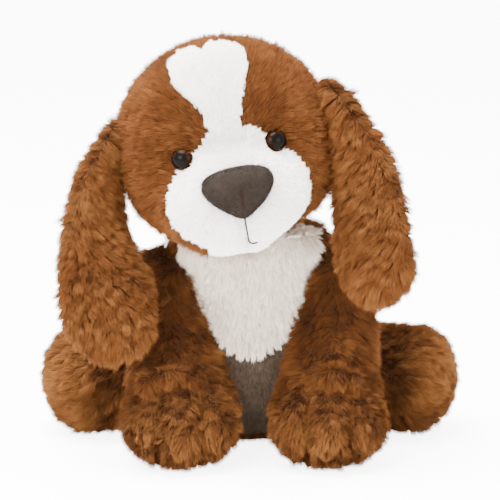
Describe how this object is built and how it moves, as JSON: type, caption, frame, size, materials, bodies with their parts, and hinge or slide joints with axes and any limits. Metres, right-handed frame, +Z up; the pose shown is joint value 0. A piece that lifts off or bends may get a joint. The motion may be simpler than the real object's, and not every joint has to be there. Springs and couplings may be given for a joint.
{
  "type": "plush dog",
  "caption": "Seated plush puppy with long-pile skins over stuffing, a stuffed head on a soft neck, long hanging ears, jointed legs and a short tail",
  "frame": {"origin": "centre of the flat seat under the torso, on the surface the toy sits on", "axes": "+Z up, the dog faces -Y, its own left side is +X"},
  "size_m": [0.2638, 0.2431, 0.2639],
  "materials": {
    "brown_plush": "matte",
    "white_plush": "matte",
    "cream_plush": "matte",
    "taupe_plush": "matte",
    "nose_velour": "matte",
    "brown_thread": "satin",
    "eye_plastic": "gloss",
    "washer_plastic": "satin",
    "stuffing": "matte",
    "lining_cloth": "matte",
    "pellets": "satin",
    "satin": "satin"
  },
  "bodies": {
    "torso": {"torso_skin": "brown_plush", "tummy_panel": "taupe_plush", "chest_bib": "cream_plush", "torso_stuffing": "stuffing", "bean_pouch": "lining_cloth", "bean_fill": "pellets", "care_label": "satin", "closing_stitch": "brown_thread"},
    "neck_lower": {"neck_collar": "lining_cloth"},
    "neck_upper": {"neck_stuffing": "stuffing"},
    "head": {"head_skin": "brown_plush", "face_blaze": "white_plush", "muzzle_panel": "white_plush", "chin_panel": "white_plush", "head_stuffing": "stuffing", "nose_cover": "nose_velour", "nose_stuffing": "stuffing", "mouth_stitch": "brown_thread", "eye_left": "eye_plastic", "eye_right": "eye_plastic", "eye_washer_left": "washer_plastic", "eye_washer_right": "washer_plastic"},
    "ear_left": {"ear_front_left": "brown_plush", "ear_back_left": "brown_plush", "ear_pad_left": "stuffing"},
    "ear_right": {"ear_front_right": "brown_plush", "ear_back_right": "brown_plush", "ear_pad_right": "stuffing"},
    "front_leg_left": {"front_leg_skin_left": "brown_plush", "front_leg_stuffing_left": "stuffing", "toe_stitch_left_inner": "brown_thread", "toe_stitch_left_outer": "brown_thread"},
    "front_leg_right": {"front_leg_skin_right": "brown_plush", "front_leg_stuffing_right": "stuffing", "toe_stitch_right_inner": "brown_thread", "toe_stitch_right_outer": "brown_thread"},
    "hind_leg_left": {"hind_leg_skin_left": "brown_plush", "hind_leg_stuffing_left": "stuffing"},
    "hind_leg_right": {"hind_leg_skin_right": "brown_plush", "hind_leg_stuffing_right": "stuffing"},
    "tail": {"tail_skin": "brown_plush", "tail_stuffing": "stuffing"}
  },
  "joints": [
    {"name": "head_turn", "type": "hinge", "parent": "torso", "child": "neck_lower", "pos_m": [-0.006, -0.016, 0.132], "axis": [0, 0, 1], "range_deg": [-10, 10], "stiffness_Nm_per_rad": 0.6},
    {"name": "head_nod", "type": "hinge", "parent": "neck_lower", "child": "neck_upper", "pos_m": [-0.006, -0.016, 0.132], "axis": [1, 0, 0], "range_deg": [-6, 4], "stiffness_Nm_per_rad": 2},
    {"name": "head_tilt", "type": "hinge", "parent": "neck_upper", "child": "head", "pos_m": [-0.006, -0.016, 0.132], "axis": [0, 1, 0], "range_deg": [-4, 7], "stiffness_Nm_per_rad": 2},
    {"name": "ear_left_lift", "type": "hinge", "parent": "head", "child": "ear_left", "pos_m": [0.048, -0.041, 0.24], "axis": [0, -1, 0], "range_deg": [0, 75]},
    {"name": "ear_right_lift", "type": "hinge", "parent": "head", "child": "ear_right", "pos_m": [-0.084, -0.041, 0.216], "axis": [0, 1, 0], "range_deg": [0, 75]},
    {"name": "front_leg_left_splay", "type": "hinge", "parent": "torso", "child": "front_leg_left", "pos_m": [0.04, -0.016, 0.131], "axis": [0, -1, 0], "range_deg": [0, 10], "stiffness_Nm_per_rad": 0.6},
    {"name": "front_leg_right_splay", "type": "hinge", "parent": "torso", "child": "front_leg_right", "pos_m": [-0.04, -0.016, 0.12], "axis": [0, 1, 0], "range_deg": [0, 10], "stiffness_Nm_per_rad": 0.6},
    {"name": "hind_leg_left_swing", "type": "hinge", "parent": "torso", "child": "hind_leg_left", "pos_m": [0.046, 0.06, 0.034], "axis": [0, 0, 1], "range_deg": [0, 15], "stiffness_Nm_per_rad": 0.4},
    {"name": "hind_leg_right_swing", "type": "hinge", "parent": "torso", "child": "hind_leg_right", "pos_m": [-0.046, 0.06, 0.034], "axis": [0, 0, -1], "range_deg": [0, 15], "stiffness_Nm_per_rad": 0.4},
    {"name": "tail_wag", "type": "hinge", "parent": "torso", "child": "tail", "pos_m": [0, 0.082, 0.021], "axis": [0, 0, 1], "range_deg": [-25, 25], "stiffness_Nm_per_rad": 0.05}
  ]
}
